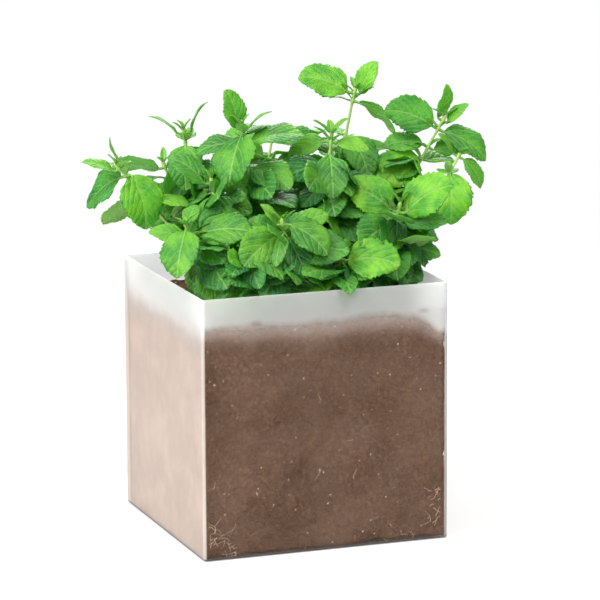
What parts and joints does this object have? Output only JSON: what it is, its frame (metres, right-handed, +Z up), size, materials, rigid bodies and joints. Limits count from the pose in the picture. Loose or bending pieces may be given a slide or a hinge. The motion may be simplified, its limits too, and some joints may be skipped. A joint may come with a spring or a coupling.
{
  "type": "potted mint plant",
  "caption": "Mint plant in a square open-top pot of frosted translucent plastic, with a block of soil, leafy stems and opposite pairs of serrated leaves.",
  "frame": {"origin": "centre of the pot's flat underside", "axes": "+Z up out of the pot, +X along the wider front wall towards its right end as seen from the front, -Y out of the front wall"},
  "size_m": [0.1953, 0.1273, 0.2163],
  "materials": {
    "frosted_plastic": "satin",
    "soil": "matte",
    "stem_green": "satin",
    "leaf_green": "satin"
  },
  "bodies": {
    "root": {"leaf_pair_back_left_1": "leaf_green", "leaf_pair_back_left_2": "leaf_green", "leaf_pair_back_middle_1": "leaf_green", "leaf_pair_back_middle_2": "leaf_green", "leaf_pair_back_right_1": "leaf_green", "leaf_pair_back_right_2": "leaf_green", "leaf_pair_centre_1": "leaf_green", "leaf_pair_centre_2": "leaf_green", "leaf_pair_centre_3": "leaf_green", "leaf_pair_centre_4": "leaf_green", "leaf_pair_far_left_1": "leaf_green", "leaf_pair_far_left_2": "leaf_green", "leaf_pair_far_left_3": "leaf_green", "leaf_pair_left_back_1": "leaf_green", "leaf_pair_left_back_2": "leaf_green", "leaf_pair_left_back_3": "leaf_green", "leaf_pair_left_front_1": "leaf_green", "leaf_pair_left_front_2": "leaf_green", "leaf_pair_left_middle_1": "leaf_green", "leaf_pair_left_middle_2": "leaf_green", "leaf_pair_left_tall_1": "leaf_green", "leaf_pair_left_tall_2": "leaf_green", "leaf_pair_left_tall_3": "leaf_green", "leaf_pair_left_tall_4": "leaf_green", "leaf_pair_low_left_1": "leaf_green", "leaf_pair_low_left_2": "leaf_green", "leaf_pair_low_right_1": "leaf_green", "leaf_pair_low_right_2": "leaf_green", "leaf_pair_middle_front_1": "leaf_green", "leaf_pair_middle_front_2": "leaf_green", "leaf_pair_right_front_1": "leaf_green", "leaf_pair_right_front_2": "leaf_green", "leaf_pair_right_front_3": "leaf_green", "leaf_pair_right_small_1": "leaf_green", "leaf_pair_right_small_2": "leaf_green", "leaf_pair_right_tall_1": "leaf_green", "leaf_pair_right_tall_2": "leaf_green", "leaf_pair_right_tall_3": "leaf_green", "leaf_pair_right_tall_4": "leaf_green", "leaf_pair_tall_1": "leaf_green", "leaf_pair_tall_2": "leaf_green", "leaf_pair_tall_3": "leaf_green", "pot": "frosted_plastic", "soil": "soil", "stem_back_left": "stem_green", "stem_back_middle": "stem_green", "stem_back_right": "stem_green", "stem_centre": "stem_green", "stem_far_left": "stem_green", "stem_left_back": "stem_green", "stem_left_front": "stem_green", "stem_left_middle": "stem_green", "stem_left_tall": "stem_green", "stem_low_left": "stem_green", "stem_low_right": "stem_green", "stem_middle_front": "stem_green", "stem_right_front": "stem_green", "stem_right_small": "stem_green", "stem_right_tall": "stem_green", "stem_tall": "stem_green"}
  },
  "joints": []
}
